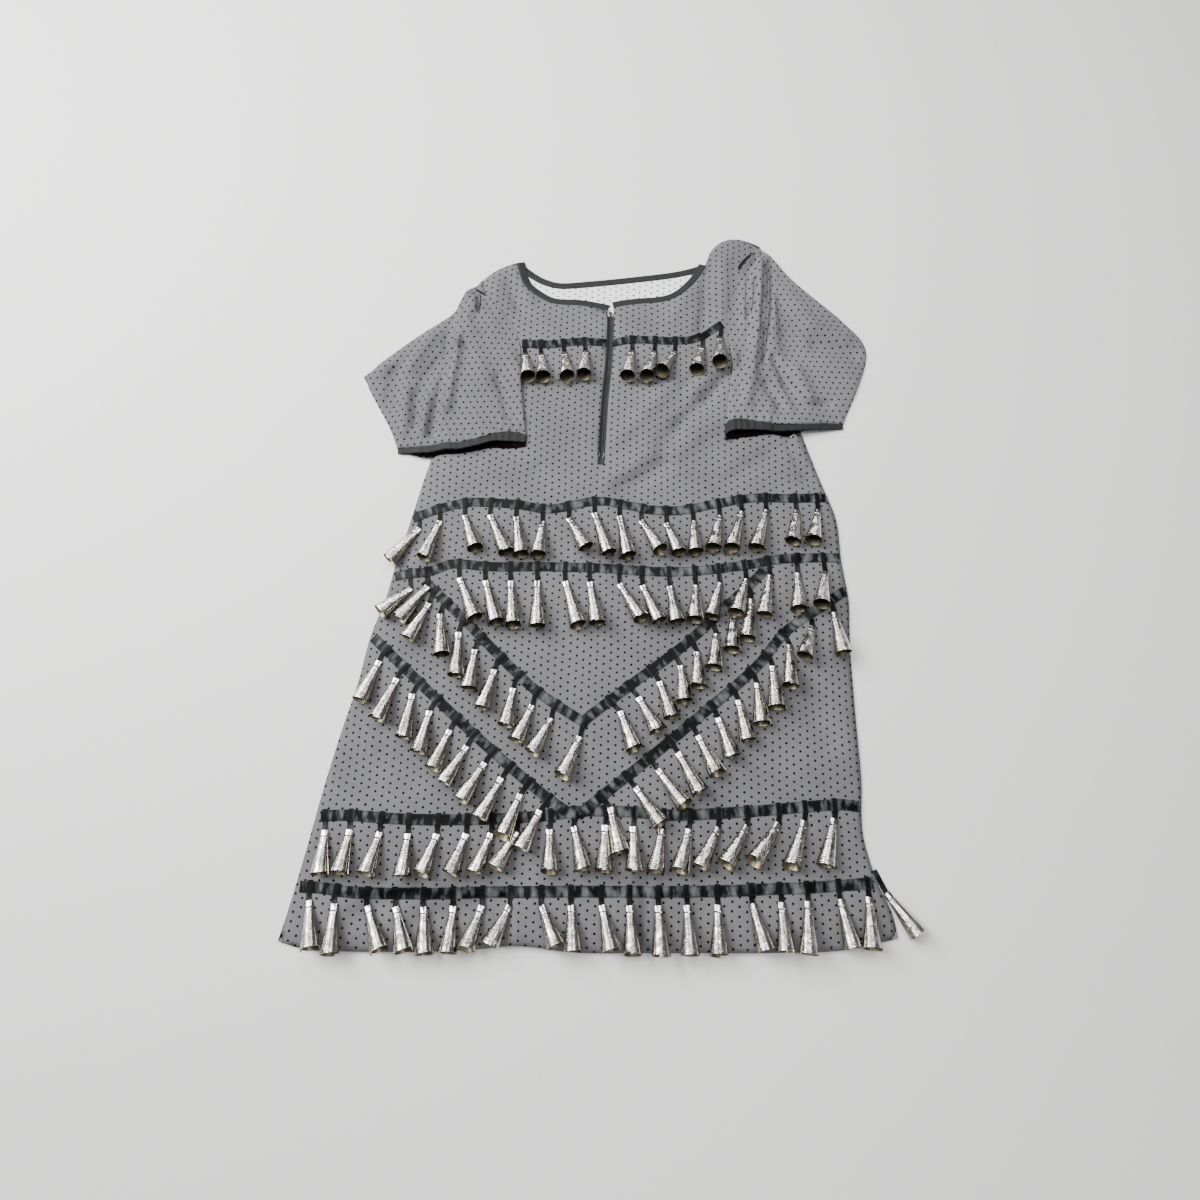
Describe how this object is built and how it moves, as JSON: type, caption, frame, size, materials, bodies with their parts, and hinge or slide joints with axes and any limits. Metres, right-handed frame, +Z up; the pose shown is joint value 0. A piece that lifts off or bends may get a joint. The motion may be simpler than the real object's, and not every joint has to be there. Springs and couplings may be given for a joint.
{
  "type": "jingle dress",
  "caption": "Dotted cotton jingle dress lying flat: bound neck and cuffs, front zip, satin ribbon rows, two of them pointed, and rolled tin cones on ribbon hangers.",
  "frame": {"origin": "middle of the bounding box, on the surface that the dress lies on", "axes": "+Y from hem to neck along the dress's length, +X to the right as the laid-out front is seen, +Z up out of the front"},
  "size_m": [0.752, 0.981, 0.0283],
  "materials": {
    "cotton": "plain-woven printed cotton, matte",
    "binding": "folded bias strip, matte",
    "satin": "satin ribbon, soft sheen",
    "tin": "rolled tinplate, bright, finely hammered",
    "zip": "woven tape with a coil, matte"
  },
  "bodies": {
    "root": {"front": "cotton", "back": "cotton", "sleeve_left": "cotton", "sleeve_right": "cotton", "cuff_left": "binding", "cuff_right": "binding", "neck_front_left": "binding", "neck_front_right": "binding", "neck_back": "binding", "zip_tape_left": "zip", "zip_tape_right": "zip", "zip_chain": "zip", "zip_slider": "zip", "ribbon_chest_left": "satin", "ribbon_chest_right": "satin", "ribbon_row_1": "satin", "ribbon_row_2": "satin", "ribbon_row_3": "satin", "ribbon_row_4": "satin", "ribbon_v1_left": "satin", "ribbon_v1_right": "satin", "ribbon_v2_left": "satin", "ribbon_v2_right": "satin", "jingles_chest_left": "tin", "jingles_chest_right": "tin", "jingles_row_1": "tin", "jingles_row_2": "tin", "jingles_row_3": "tin", "jingles_row_4": "tin", "jingles_v1_left": "tin", "jingles_v1_right": "tin", "jingles_v2_left": "tin", "jingles_v2_right": "tin", "jingle_side": "tin"}
  },
  "joints": []
}
